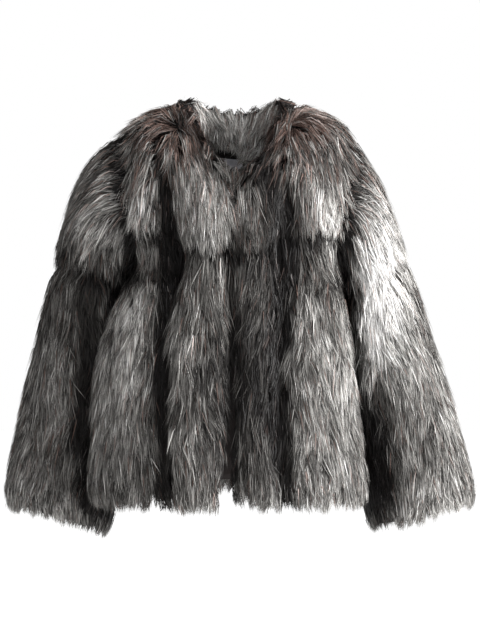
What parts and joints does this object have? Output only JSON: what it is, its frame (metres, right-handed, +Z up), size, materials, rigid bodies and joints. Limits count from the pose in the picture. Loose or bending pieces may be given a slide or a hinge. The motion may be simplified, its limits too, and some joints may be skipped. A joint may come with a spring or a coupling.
{
  "type": "fur coat",
  "caption": "Short, wide fur coat with a V neck, small rolled collar, open front and wide sleeves, hollow as worn, with deep vertical flutes.",
  "frame": {"origin": "centre of the neck hole, level with the points where the shoulders meet the neck", "axes": "+Z up the wearer's body, -Y out of the front, +X towards the wearer's left"},
  "size_m": [0.7209, 0.3513, 0.6853],
  "materials": {
    "fur": "long silver-grey fur with dark roots and tips",
    "satin": "plain pale satin"
  },
  "bodies": {
    "root": {"yoke_front_right": "fur", "body_front_right": "fur", "yoke_front_left": "fur", "body_front_left": "fur", "yoke_back": "fur", "body_back": "fur", "sleeve_cap_right": "fur", "sleeve_right": "fur", "sleeve_cap_left": "fur", "sleeve_left": "fur", "collar": "fur", "neck_label": "satin"}
  },
  "joints": []
}
